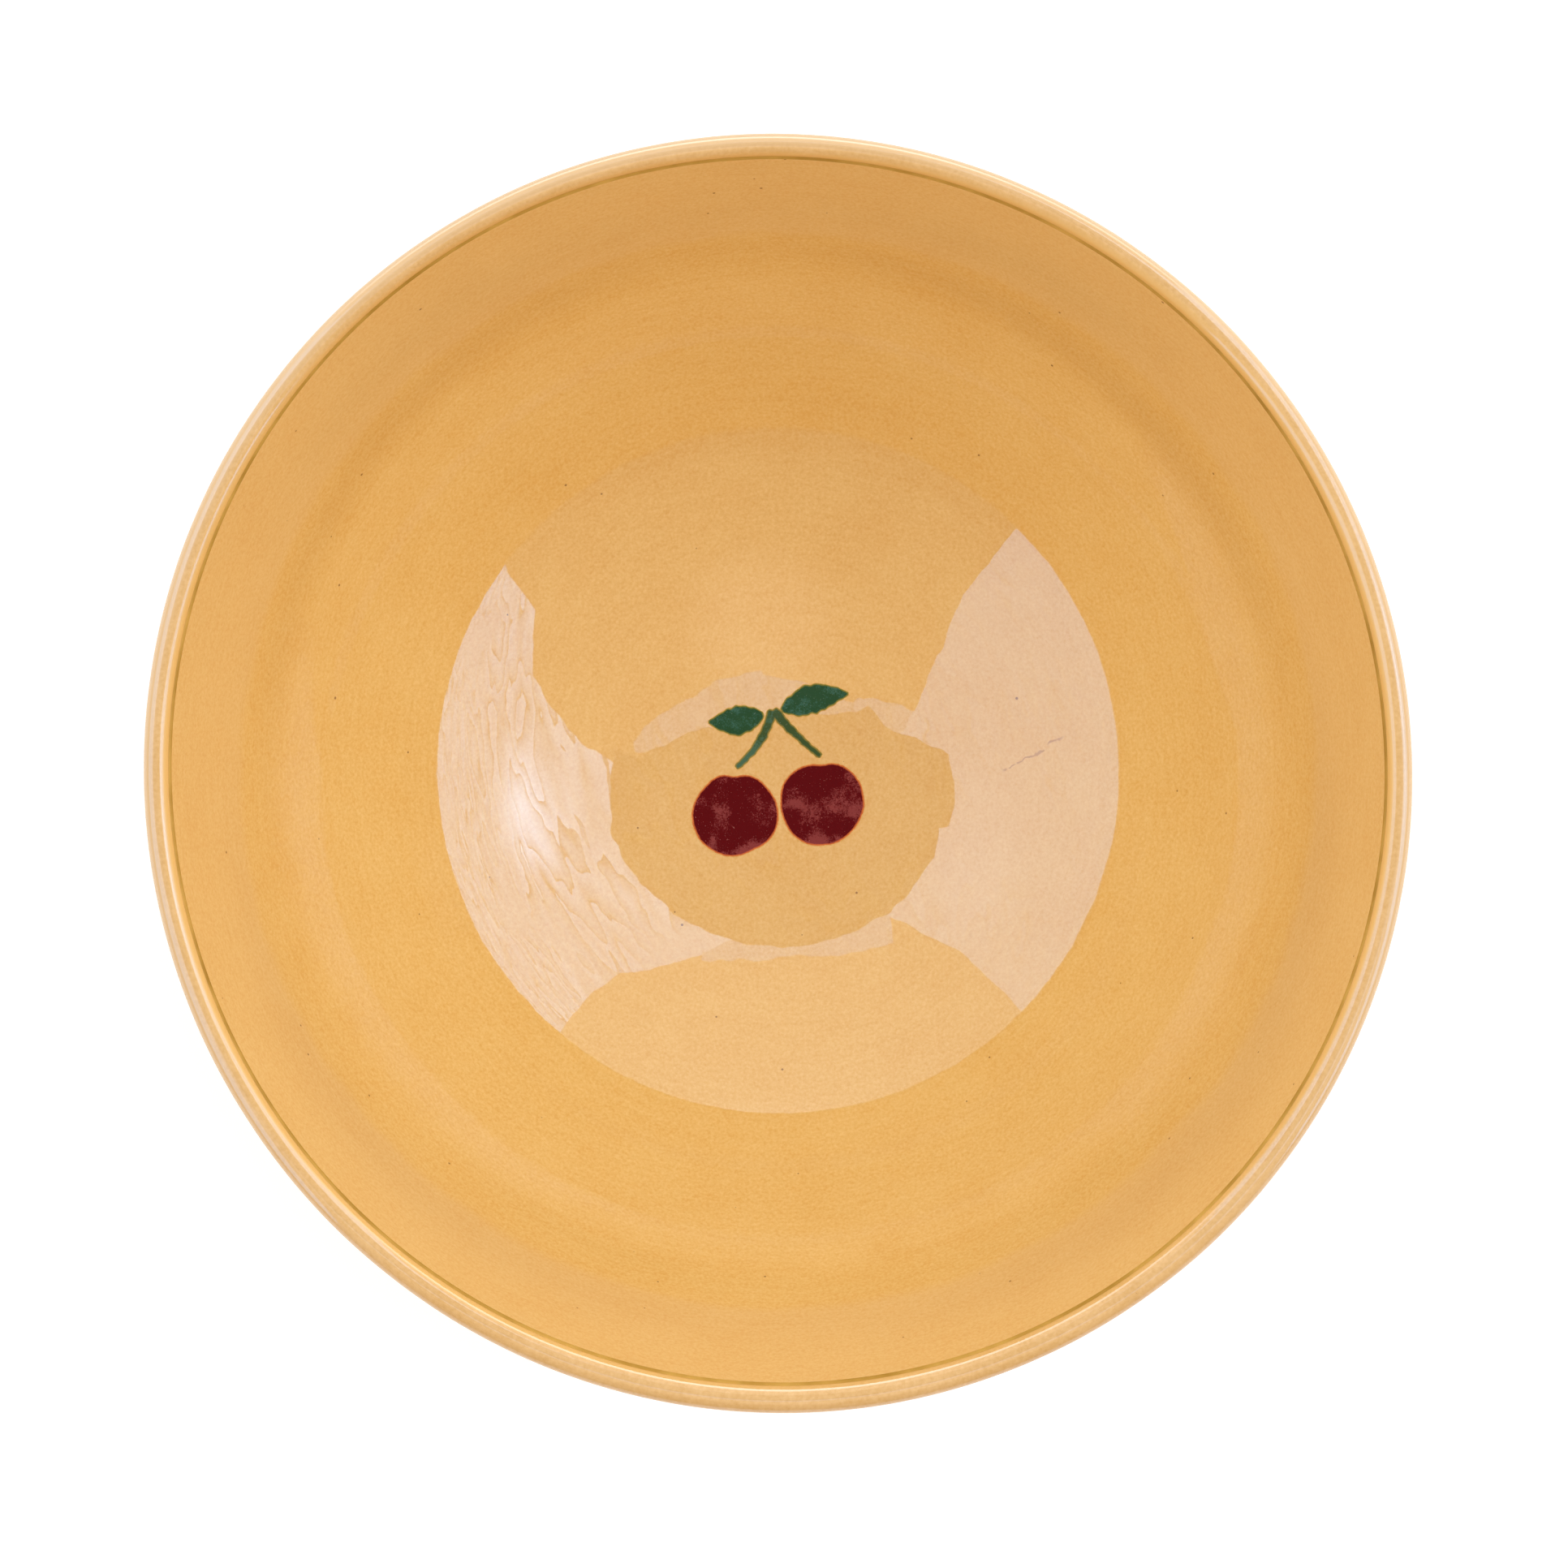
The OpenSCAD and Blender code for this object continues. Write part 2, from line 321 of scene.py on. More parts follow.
def make_wheel():
    nodes = bpy.data.node_groups.new("wheel", "GeometryNodeTree")
    nodes.interface.new_socket("Section", in_out="INPUT", socket_type="NodeSocketGeometry")
    for name, kind in wheel_inputs.items():
        nodes.interface.new_socket(name, in_out="INPUT", socket_type=kind)
    nodes.interface.new_socket("Surface", in_out="OUTPUT", socket_type="NodeSocketGeometry")
    tree = Tree(nodes)
    given = tree.named("NodeGroupInput")

    # One grid point for each section point and step round
    section = given["Section"]
    count = tree.node("GeometryNodeAttributeDomainSize", {"component": "MESH"}, {0: section})[0]
    grid_size = {"Vertices X": given["Steps Around"] + 1, "Vertices Y": count}
    grid = tree.node("GeometryNodeMeshGrid", {}, grid_size)[0]
    index = tree.node("GeometryNodeInputIndex")[0]
    row = index.math("FLOORED_MODULO", index, count)
    column = index.math("FLOOR", (index + 0.5) / count)
    turn = column / given["Steps Around"] * (2 * math.pi)

    def sample(kind, value):
        return tree.node("GeometryNodeSampleIndex", {"data_type": kind, "domain": "POINT"},
                         {"Geometry": section, "Value": value, "Index": row})[0]

    point = tree.split(sample("FLOAT_VECTOR", tree.node("GeometryNodeInputPosition")[0]))
    stored = tree.node("GeometryNodeInputNamedAttribute", {"data_type": "FLOAT"}, {"Name": "outer"})
    outer = sample("FLOAT", stored[0])

    # Out of round and leaning, more so towards the lip
    up = point[2] / given["Lip Height"]
    up = up * up
    stretch = given["Out Of Round"] * up * ((turn - given["Long Way"]) * 2).cos() + 1
    across = point[0] * stretch
    lean = given["Lean"] * outer * up
    place = tree.join(across * turn.cos(), across * turn.sin() - lean, point[2])
    turned = tree.node("GeometryNodeSetPosition", {}, {"Geometry": grid, "Position": place})[0]
    welded = {"Geometry": turned, "Distance": weld_gap}
    closed = tree.node("GeometryNodeMergeByDistance", {}, welded)[0]

    # Finger rings and slow unevenness, pushed away from the middle of the bowl's mouth
    here = tree.node("GeometryNodeInputPosition")[0]
    xyz = tree.split(here)
    mouth_middle = tree.join(0.0, 0.0, given["Middle Height"])
    away = tree.vector("NORMALIZE", tree.vector("SUBTRACT", here, mouth_middle))
    radius = xyz[0].beside(xyz[1])
    angle = xyz[1].math("ARCTAN2", xyz[1], xyz[0])
    rings = ((radius + xyz[2]) / given["Ring Spacing"] * (2 * math.pi) + angle).sin()
    rings = rings * radius.step(*calm_middle)
    rings = rings * radius.step(given["Ring Reach"], given["Ring Reach"] * ring_fade)
    spread = tree.scaled(here, 1 / given["Wave Size"])
    waves = tree.noise(spread, 1.0, detail=2.0, seed=given["Seed"]) * 2 - 1
    waves = waves * radius.step(given["Wave Reach"], given["Wave Reach"] * wave_fade)
    still = xyz[2].step(given["Still Below"], given["Still Below"] * 2)
    push = (rings * given["Ring Depth"] + waves * given["Wave Depth"]) * still
    moved = {"Geometry": closed, "Offset": tree.scaled(away, push)}
    wavy = tree.node("GeometryNodeSetPosition", {}, moved)[0]
    smooth = tree.node("GeometryNodeSetShadeSmooth", {}, {"Geometry": wavy})[0]
    real = tree.node("GeometryNodeRealizeInstances", {}, {"Geometry": smooth})[0]
    coated = {"Geometry": real, "Material": given["Finish"]}
    done = tree.node("GeometryNodeSetMaterial", {}, coated)[0]
    tree.node("NodeGroupOutput", {}, {0: done})
    return nodes


wheel = make_wheel()
print("wheel tree:", len(wheel.nodes), "nodes")

# %% [markdown]
# ## Using the wheel
# A section goes in as a small mesh of points and edges, and a float on each point says how far it
# belongs to the outside, for the lean. The modifier's inputs are set by each socket's identifier
# before anything is evaluated. The evaluated result is then copied to a plain mesh and the modifier
# goes, because the frame wants finished meshes. Faces are turned outwards at the very end.

# %% Turn a section
long_way = math.radians(-69.6)
out_of_round = 0.0056
lip_lean = 0.5 * mm
sharp_edge = math.radians(50)


def turn_section(name, points, finish, outer=0.0, around=384, ring_depth=0.0,
                 ring_spacing=5 * mm, ring_reach=1.0, wave_depth=0.0, wave_size=16 * mm,
                 wave_reach=1.0, seed=1.0):
    mesh = bpy.data.meshes.new(name)
    count = len(points)
    mesh.from_pydata([(r, 0, z) for r, z in points], [(i, i + 1) for i in range(count - 1)], [])
    shares_out = mesh.attributes.new("outer", "FLOAT", "POINT").data
    shares_out.foreach_set("value", np.full(count, outer, np.float32))
    piece = add_object(name, mesh)
    modifier = piece.modifiers.new("wheel", "NODES")
    modifier.node_group = wheel
    values = {
        "Steps Around": around, "Out Of Round": out_of_round, "Long Way": long_way,
        "Lean": lip_lean, "Lip Height": line_z, "Middle Height": line_z, "Still Below": foot_h,
        "Ring Depth": ring_depth, "Ring Spacing": ring_spacing, "Ring Reach": ring_reach,
        "Wave Depth": wave_depth, "Wave Size": wave_size, "Wave Reach": wave_reach,
        "Seed": seed, "Finish": finish,
    }
    for socket in wheel.interface.items_tree:
        if socket.in_out == "INPUT" and socket.name in values:
            modifier[socket.identifier] = values[socket.name]
    return plain(piece, finish)


def plain(piece, finish):
    """Replaces a piece's modifiers by their result, as one plain mesh with its faces outwards."""
    depsgraph = bpy.context.evaluated_depsgraph_get()
    made = bpy.data.meshes.new_from_object(piece.evaluated_get(depsgraph), depsgraph=depsgraph)
    piece.modifiers.clear()
    piece.data = made
    work = bmesh.new()
    work.from_mesh(made)
    bmesh.ops.recalc_face_normals(work, faces=work.faces)
    work.to_mesh(made)
    open_edges = sum(1 for edge in work.edges if not edge.is_manifold)
    work.free()
    made.materials.clear()
    made.materials.append(finish)
    made.set_sharp_from_angle(angle=sharp_edge)
    print(f"{piece.name}: {len(made.polygons)} faces, {open_edges} open edges")
    return piece


def stand_for(piece, node):
    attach(piece, "root")
    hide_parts(node)


# %% [markdown]
# ## Reading a material's place
# Every pattern below is laid out in the object's own coordinates, in metres, so it stays on the
# bowl in every view. `start_finish` makes an empty material and hands over those coordinates, and
# `end_finish` closes it with a Principled shader. The glaze has a strong clear mirror over its
# colour, so its specular level is set to full: 8 percent of the light head-on. The paint, the dark
# line and the bare clay mirror less.

# %% Beginning and ending a material
def blank_tree(owner):
    owner.use_nodes = True
    owner.node_tree.nodes.clear()
    return Tree(owner.node_tree)


def start_finish(name):
    material = bpy.data.materials.new(name)
    tree = blank_tree(material)
    return material, tree, tree.named("ShaderNodeTexCoord")["Object"]


def end_finish(material, tree, colour, roughness, bump=None, bump_depth=0.0, specular=1.0):
    sockets = {"Base Color": colour, "Roughness": roughness, "Specular IOR Level": specular}
    if bump is not None:
        relief = {"Height": bump, "Distance": bump_depth}
        sockets["Normal"] = tree.node("ShaderNodeBump", {}, relief)[0]
    shader = tree.node("ShaderNodeBsdfPrincipled", {}, sockets)[0]
    tree.node("ShaderNodeOutputMaterial", {}, {"Surface": shader})
    return material


# %% [markdown]
# ## Honey glaze
# The photograph's glaze is an even honey yellow from a step away. Close to, it has a fine grain,
# slow pale and dark clouds, streaks drawn out by the turning wheel, faint rings where it lay
# thicker in the finger marks, and a few brown specks of iron. One function makes that colour,
# because the inside, the outside and the glaze round the painted strokes must match. Only the
# inside has more: a deeper band high on the wall, a paler colour from there to the lip, painted
# shade that darkens the far wall a little, and one fine crack.

# %% Specks and the crack
crack_start = (48.5 * mm, 0.0)
crack_long = 16 * mm
crack_turn = math.radians(30)
crack_wander = 4 * mm
crack_brown = (0.52, 0.24, 0.06, 1)
crack_strength = 0.8
speck_cell = 8 * mm
speck_strength = 0.75


def crack(tree, spot, xyz):
    """A mask of one fine broken crack in the glaze, right of the painting."""
    wander = (tree.noise(spot, 4 * mm, seed=8.0) - 0.5) * crack_wander
    x = xyz[0] - crack_start[0]
    y = xyz[1] - crack_start[1]
    along = x * math.cos(crack_turn) + y * math.sin(crack_turn)
    across = y * math.cos(crack_turn) - x * math.sin(crack_turn) + wander
    line = across.math("ABSOLUTE", across).step(0.30 * mm, 0.08 * mm)
    ends = along.step(0, 1 * mm) * along.step(crack_long, crack_long - 2 * mm)
    broken = tree.noise(tree.join(along, 0.0, 0.0), 2 * mm, detail=1.0, seed=10.0)
    return line * ends * broken.step(0.35, 0.5) * crack_strength


def specks(tree, spot, cell=speck_cell, kept=0.9):
    """A mask of small round specks in the chosen share of the cells of a loose net."""
    distance, tint = tree.node("ShaderNodeTexVoronoi", {}, {"Vector": spot, "Scale": 1 / cell})[:2]
    chosen = tree.split(tint)
    size = chosen[1] * 0.025 + 0.025
    dot = (distance / size).step(1.0, 0.6)
    return dot * chosen[0].step(kept, kept - 0.01) * speck_strength


print(f"one crack, {crack_long / mm:.0f} mm long")

# %% Honey colour
honey_pale = (0.83, 0.525, 0.183, 1)
honey_deep = (0.74, 0.40, 0.099, 1)
honey_above_band = (0.75, 0.47, 0.24, 1)
iron_brown = (0.22, 0.08, 0.02, 1)
grain_strength = 2.2
cloud_strength = 0.6
streak_strength = 0.5
streak_length = 8 * mm
ring_gap = 4 * mm
ring_strength = 0.02
band_inner = 104 * mm
band_outer = 112 * mm
band_soft = 1 * mm
band_wander = 3 * mm
band_strength = 0.12
above_band_share = 0.2
far_shade_rise = (66 * mm, 74 * mm)
far_shade_fall = (90 * mm, 80 * mm)
far_shade_strength = 0.15


def honey(tree, spot, inner=False):
    grain = tree.noise(spot, 0.7 * mm, roughness=0.6, seed=2.0)
    clouds = tree.noise(spot, 14 * mm, seed=5.0)
    xyz = tree.split(spot)
    radius = xyz[0].beside(xyz[1])
    angle = xyz[1].math("ARCTAN2", xyz[1], xyz[0])
    drawn = [axis / radius * streak_length for axis in xyz[:2]]
    drawn_out = tree.join(*drawn, radius + xyz[2])
    streaks = tree.noise(drawn_out, 1.6 * mm, detail=2.0, seed=11.0)
    rings = ((radius + xyz[2]) / ring_gap * (2 * math.pi) + angle + clouds * 6).sin()
    deep = 0.5 + (grain - 0.5) * grain_strength + (clouds - 0.5) * cloud_strength
    deep = deep + rings * ring_strength + (streaks - 0.5) * streak_strength
    if inner:
        # A darker band high on the wall, and a paler colour from it up to the lip.
        edge = radius + (clouds - 0.5) * band_wander
        low, high = [edge.step(at - band_soft, at + band_soft) for at in (band_inner, band_outer)]
        # Painted shade: the wall on the far side is made a little darker, standing in for its shade.
        far = (xyz[1] / radius).step(0.2, 0.9) * edge.step(*far_shade_rise) * edge.step(*far_shade_fall)
        deep = deep + low * (1 - high) * band_strength + far * far_shade_strength
    colour = tree.blend(deep, honey_pale, honey_deep)
    if inner:
        colour = tree.blend(high * above_band_share, colour, honey_above_band)
        colour = tree.blend(crack(tree, spot, xyz), colour, crack_brown)
    return tree.blend(specks(tree, spot), colour, iron_brown)


print(f"the deeper band lies {band_inner / mm:.0f} to {band_outer / mm:.0f} mm from the axis")

# %% [markdown]
# ## Honey finish
# The mirror in the glaze is as telling as its colour. The potter smooths the floor with a rib, so
# it mirrors sharply, the upper wall less so, and the outside keeps a satin touch of the fingers. A
# faint peel in the bump makes every mirrored edge tremble a little.

# %% Inside and outside finish
peel_depth = 0.01 * mm
inside_rough, inside_spread = 0.01, 0.02
outside_rough, outside_spread = 0.08, 0.08
upper_wall = (95 * mm, 104 * mm)
upper_wall_rough = 0.12


def honey_finish(name, inner):
    material, tree, spot = start_finish(name)
    peel = tree.noise(spot, 5 * mm, detail=1.0, seed=7.0)
    gloss = tree.noise(spot, 2 * mm, detail=2.0, seed=9.0)
    if inner:
        xyz = tree.split(spot)
        upper = xyz[0].beside(xyz[1]).step(*upper_wall)
        roughness = inside_rough + gloss * inside_spread + upper * upper_wall_rough
    else:
        roughness = outside_rough + gloss * outside_spread
    return end_finish(material, tree, honey(tree, spot, inner), roughness, peel, peel_depth)


honey_inside = honey_finish("honey_inside", inner=True)
honey_outside = honey_finish("honey_outside", inner=False)
print("honey nodes:", len(honey_inside.node_tree.nodes), len(honey_outside.node_tree.nodes))

# %% [markdown]
# ## The inside glaze
# This is the piece the photograph is about. Its section is the formula's inside skin, sampled
# finely for clean reflections, then back along the clay side coarsely, because nobody sees it. A
# real coat of glaze has a thickness, and a closed shell exports as a solid.

# %% Inside glaze
inside_steps = 150
back_steps = 30
front = inside(np.linspace(0, 1, inside_steps + 1))
back_shares = np.linspace(1, 0, back_steps + 1)
back = inside(back_shares) + glaze_t * into(back_shares)
inside_section = np.concatenate([front, back])
inside_glaze = turn_section("inside_glaze", inside_section, honey_inside, seed=3.0,
                            ring_depth=0.004 * mm, ring_reach=30 * mm,
                            wave_depth=0.06 * mm, wave_size=12 * mm, wave_reach=66 * mm)
stand_for(inside_glaze, "interior_glaze")

# %% [markdown]
# ## Lip and dark line
# Glaze runs off a raised lip while it melts, so it is thin and pale there, and gathers in the
# crease just inside as a thin dark line. The line is a narrow ring with a hollow top. The lip is
# the round arc. Both lean with the outside, by how far out each point lies. The lip's inner foot
# is a brighter amber, painted light that lifts the shade of the crease. Its outer half is paler,
# from thin glaze and a painted reflection of the bright far side, so the near side stays darker.

# %% Dark line
pool_pale = (0.64, 0.37, 0.08, 1)
pool_dark = (0.42, 0.22, 0.03, 1)
pool_rough = 0.3
pool_mirror = 0.1
crease_steps = 6


def pooled_finish():
    material, tree, spot = start_finish("dark_glaze")
    runs = tree.noise(spot, 9 * mm, seed=4.0)
    colour = tree.blend(runs.step(0.25, 0.75), pool_pale, pool_dark)
    return end_finish(material, tree, colour, pool_rough, specular=pool_mirror)


def lip_lean_of(points):
    return np.clip((points[:, 0] - line_r) / lip_w, 0, 1)


lip_start = lip_line(glaze_t, 1)[0]
crease_t = np.linspace(0, 1, crease_steps + 1)[:, None]
sag = np.array([0, line_dip]) * 4 * crease_t * (1 - crease_t)
crease = inside(1) + (lip_start - inside(1)) * crease_t - sag
line_back = [lip_line(0, 1)[0], inside(1) + glaze_t * into(1), inside(1)]
line_section = np.concatenate([crease, line_back])
dark_line = turn_section("dark_line", line_section, pooled_finish(), lip_lean_of(line_section))
stand_for(dark_line, "rim_line")

# %% Lip
lip_pale = (0.74, 0.44, 0.175, 1)
lip_deep = (0.64, 0.35, 0.105, 1)
lip_foot_painted_light = (0.80, 0.47, 0.15, 1)
lip_sheen_and_thin = (0.70, 0.44, 0.21, 1)
lip_specks = {"cell": 9 * mm, "kept": 0.3}
lip_rough = 0.08
lip_peel = 0.02 * mm
lip_steps = 44


def lip_finish():
    material, tree, spot = start_finish("pale_glaze")
    grain = tree.noise(spot, 0.8 * mm, seed=12.0)
    clouds = tree.noise(spot, 12 * mm, seed=13.0)
    deep = 0.45 + (grain - 0.5) * 2.0 + (clouds - 0.5) * 1.2
    xyz = tree.split(spot)
    radius = xyz[0].beside(xyz[1])
    outward = (radius - line_r) / lip_w
    far = (xyz[1] / radius).step(-0.95, -0.2)
    colour = tree.blend(deep, lip_pale, lip_deep)
    # Painted light: the lip's inner foot is brightened to lift the shade of the crease.
    colour = tree.blend(outward.step(0.4, 0.1), colour, lip_foot_painted_light)
    # Thin glaze and a painted reflection: the outer half is paler everywhere but on the near side.
    colour = tree.blend(outward.step(0.4, 0.75) * far * 0.9, colour, lip_sheen_and_thin)
    colour = tree.blend(specks(tree, spot, **lip_specks), colour, iron_brown)
    peel = tree.noise(spot, 4 * mm, detail=1.0, seed=14.0)
    return end_finish(material, tree, colour, lip_rough, peel, lip_peel)


lip_back = lip_line(0, lip_steps // 4)[::-1]
lip_section = np.concatenate([lip_line(glaze_t, lip_steps), lip_back, [lip_start]])
lip_glaze = turn_section("lip_glaze", lip_section, lip_finish(), lip_lean_of(lip_section),
                         wave_depth=0.08 * mm, wave_size=30 * mm, seed=6.0)
stand_for(lip_glaze, "rim_glaze")

# %% [markdown]
# ## Outside and underside
# The photograph doesn't show them, but other views do. The outside carries stronger finger rings
# than the inside, which a potter smooths with a rib. Its glaze ends in a thick rounded edge above
# the foot, where it was wiped off so that the bowl wouldn't stick to the kiln shelf.

# %% Outside glaze and the glaze in the hollow
outside_steps = 150
wall_back_steps = 24
edge_steps = 5
roof_points = 24


def wall_down(out, steps):
    down = 1 - (1 - neck_share) * np.linspace(0, 1, steps + 1)
    return np.concatenate([lip_line(out, 1)[-1:], outside(down, out), neck_line(out, steps // 6)])


glaze_edge = arc([foot_r, bare_h + glaze_t], glaze_t, 0, -90, edge_steps)
wall_front = wall_down(glaze_t, outside_steps)
wall_back = wall_down(0, wall_back_steps)[::-1]
outside_section = np.concatenate([wall_front, glaze_edge, wall_back, wall_front[:1]])
outside_glaze = turn_section("outside_glaze", outside_section, honey_outside, 1.0, seed=8.0,
                             ring_depth=0.09 * mm, ring_spacing=7 * mm, wave_depth=0.14 * mm)
stand_for(outside_glaze, "exterior_glaze")


def hollow_line(out, steps):
    across = np.linspace(0, hollow_r - hollow_round, roof_points)
    roof = np.stack([across, np.full(roof_points, foot_h - out)], -1)
    corner = arc([across[-1], foot_h - hollow_round], hollow_round - out, 90, 0, steps)
    return np.concatenate([roof, corner])


hollow_edge = arc([hollow_r, bare_h + glaze_t], glaze_t, -90, -180, edge_steps)
hollow_section = np.concatenate([hollow_line(0, 6), hollow_edge, hollow_line(glaze_t, 12)[::-1]])
hollow_glaze = turn_section("hollow_glaze", hollow_section, honey_outside, around=256)
stand_for(hollow_glaze, "base_glaze")

# %% [markdown]
# ## Bare clay
# Unglazed stoneware is buff, matt and gritty, with fine lines from the trimming tool and a warmer
# flash next to the glaze. The foot shows it. The clay under the glaze shows nowhere, but it is
# there as a solid, so the bowl is whole from every side.

# %% Foot and clay
clay_buff = (0.56, 0.37, 0.21, 1)
clay_dark = (0.36, 0.21, 0.105, 1)
flash_orange = (0.50, 0.22, 0.07, 1)
flash_from, flash_share = 0.55, 0.7
clay_rough, clay_spread = 0.75, 0.2
clay_relief = 0.12 * mm
clay_mirror = 0.4
corner_steps = 8


def clay_finish():
    material, tree, spot = start_finish("bare_clay")
    grit = tree.noise(spot, 0.6 * mm, detail=4.0, roughness=0.65, seed=21.0)
    clouds = tree.noise(spot, 16 * mm, detail=2.0, seed=22.0)
    xyz = tree.split(spot)
    radius = xyz[0].beside(xyz[1])
    tool_lines = ((radius + xyz[2]) / (0.8 * mm) * (2 * math.pi) + clouds * 5).sin()
    deep = 0.5 + (grit - 0.5) * 1.6 + (clouds - 0.5) * 0.6 + tool_lines * 0.06
    colour = tree.blend(deep, clay_buff, clay_dark)
    flash = xyz[2].step(bare_h * flash_from, bare_h) * flash_share
    colour = tree.blend(flash, colour, flash_orange)
    relief = grit * 0.8 + tool_lines * 0.2
    roughness = clay_rough + grit * clay_spread
    return end_finish(material, tree, colour, roughness, relief, clay_relief, specular=clay_mirror)


bare_clay = clay_finish()
outer_edge = arc([foot_r - foot_round, foot_round], foot_round, 0, -90, corner_steps)
inner_edge = arc([hollow_r + foot_round, foot_round], foot_round, -90, -180, corner_steps)
corner_middle = [hollow_r - hollow_round, foot_h - hollow_round]
hollow_corner = arc(corner_middle, hollow_round, 0, 90, corner_steps)
foot_top = [[foot_r, foot_h]]
foot_section = np.concatenate([foot_top, outer_edge, inner_edge, hollow_corner, foot_top])
turned_foot = turn_section("turned_foot", foot_section, bare_clay)
stand_for(turned_foot, "foot_ring")

clay_inside = inside(1 - back_shares) + glaze_t * into(1 - back_shares)
clay_lip = lip_line(0, lip_steps // 4)
clay_outside = np.concatenate([wall_down(0, wall_back_steps)[1:], foot_top, [[0, foot_h]]])
clay_section = np.concatenate([clay_inside, clay_lip, clay_outside])
no_lean, all_lean = np.zeros(len(clay_inside)), np.ones(len(clay_outside))
clay_lean = np.concatenate([no_lean, lip_lean_of(clay_lip), all_lean])
thrown_clay = turn_section("thrown_clay", clay_section, bare_clay, clay_lean, around=192)
stand_for(thrown_clay, "clay_body")

# %% [markdown]
# ## The painting
# A painter's brush leaves a puddle of colour with an uneven edge and a slight thickness. Each shape
# here is a grid of points in plan. A ray dropped on the inside glaze puts every point on the real,
# wavy surface, and the paint swells from nothing at its edge. Each point keeps its distance from
# the edge, which the paint's material reads to fade the rim of the stroke.

# %% Laying paint on the glaze
cherry_d = 18.2 * mm
cherry_gap = 0.8 * mm
cherry_step = 2.5 * mm
painting_h = 37 * mm
stalk_w = 1.4 * mm
knot_d = 2.6 * mm
brush_gap = 0.5 * mm
long_leaf = 15.5 * mm
short_leaf = 12.5 * mm
leaf_w = 6.2 * mm
paint_rise = 0.1 * mm
paint_swell = 0.6 * mm
paint_sink = 0.25 * mm
halo_w = 0.3 * mm

floor_tree = BVHTree.FromPolygons([v.co for v in inside_glaze.data.vertices],
                                  [p.vertices for p in inside_glaze.data.polygons])
floor = floor_tree.ray_cast(Vector((0, 0, line_z)), Vector((0, 0, -1)))[0]
print(f"the glaze lies {floor.z / mm:.2f} mm above the table in the middle")


def lay_paint(name, plan, inset, wrapped, finish):
    """plan: a grid of (x, y). inset: each point's distance from the paint's edge.
    A wrapped grid's last column meets its first."""
    rows, columns = inset.shape
    rise = paint_rise * np.clip(inset / paint_swell, 0, 1) ** 0.5
    work = bmesh.new()
    layer = work.verts.layers.float.new("inset")
    points = []
    for (x, y), up, edge in zip(plan.reshape(-1, 2), rise.ravel(), inset.ravel()):
        hit = floor_tree.ray_cast(Vector((x, y, line_z)), Vector((0, 0, -1)))[0]
        point = work.verts.new((x, y, hit.z + up))
        point[layer] = edge
        points.append(point)
    last = columns if wrapped else columns - 1
    for i in range(rows - 1):
        for j in range(last):
            k = (j + 1) % columns
            low, high = i * columns, (i + 1) * columns
            work.faces.new([points[c] for c in (low + j, low + k, high + k, high + j)])
    bmesh.ops.remove_doubles(work, verts=work.verts, dist=weld_gap)
    for face in work.faces:
        face.smooth = True
    rim = [edge for edge in work.edges if edge.is_boundary]
    skirt = bmesh.ops.extrude_edge_only(work, edges=rim)["geom"]
    for part in skirt:
        if isinstance(part, bmesh.types.BMVert):
            part.co.z -= paint_sink
    low_rim = [part for part in skirt
               if isinstance(part, bmesh.types.BMEdge) and part.is_boundary]
    bmesh.ops.holes_fill(work, edges=low_rim, sides=0)
    bmesh.ops.recalc_face_normals(work, faces=work.faces)
    mesh = bpy.data.meshes.new(name)
    work.to_mesh(mesh)
    open_edges = sum(1 for edge in work.edges if not edge.is_manifold)
    work.free()
    mesh.materials.append(finish)
    print(f"{name}: {len(mesh.polygons)} faces, {open_edges} open edges")
    return add_object(name, mesh)


# %% [markdown]
# ## Cherries
# A cherry is a fan of rings about its middle. Its edge is a circle with a dimple at the stalk and a
# few slow waves, because no brush draws a true circle. The waves' sizes and turns are drawn with a
# fixed seed.

# %% Cherry shapes
hand = np.random.default_rng(17)
dimple_depth, dimple_width = 0.075, 0.22
cherry_wobble = 0.055


def uneven(turn, waves, depth):
    """A smooth closed wobble about 1, with a few waves of random size."""
    total = np.zeros_like(turn)
    for wave in waves:
        total += hand.uniform(0.4, 1.0) / wave * np.sin(wave * turn + hand.uniform(0, 2 * math.pi))
    return 1 + depth * total


def cherry(name, middle, finish, rings=44, spokes=168):
    turn = np.linspace(0, 2 * math.pi, spokes, endpoint=False)
    dimple = dimple_depth * np.exp(-((turn - math.pi / 2) / dimple_width) ** 2)
    edge = (cherry_d / 2) * (uneven(turn, (2, 3, 4, 5, 7, 11), cherry_wobble) - dimple) + halo_w
    share = np.linspace(0, 1, rings + 1)[:, None] ** 0.8
    reach = edge * share
    plan = np.stack([middle[0] + reach * np.cos(turn), middle[1] + reach * np.sin(turn)], -1)
    return lay_paint(name, plan, edge - reach, wrapped=True, finish=finish)


left_cherry = np.array([-(cherry_d + cherry_gap) / 2, (cherry_d - painting_h) / 2])
right_cherry = np.array([(cherry_d + cherry_gap) / 2, left_cherry[1] + cherry_step])
print(f"two cherries of {cherry_d / mm:.1f} mm, {cherry_gap / mm:.1f} mm apart")

# %% [markdown]
# ## Leaves and stalks
# A brush stroke is a ribbon: a curved midline with a width that swells and ends. Leaves swell in
# the middle and stalks stay narrow. The two edges wobble on their own, which makes the ragged brush
# edge.

# %% Brush strokes
ripple_sizes = (0.35 * mm, 0.6 * mm, 1.1 * mm, 2.1 * mm)
ripple_turn = 6.28


def curve(start, turn, end, t):
    t = t[:, None]
    return (1 - t) ** 2 * start + 2 * t * (1 - t) * turn + t**2 * end


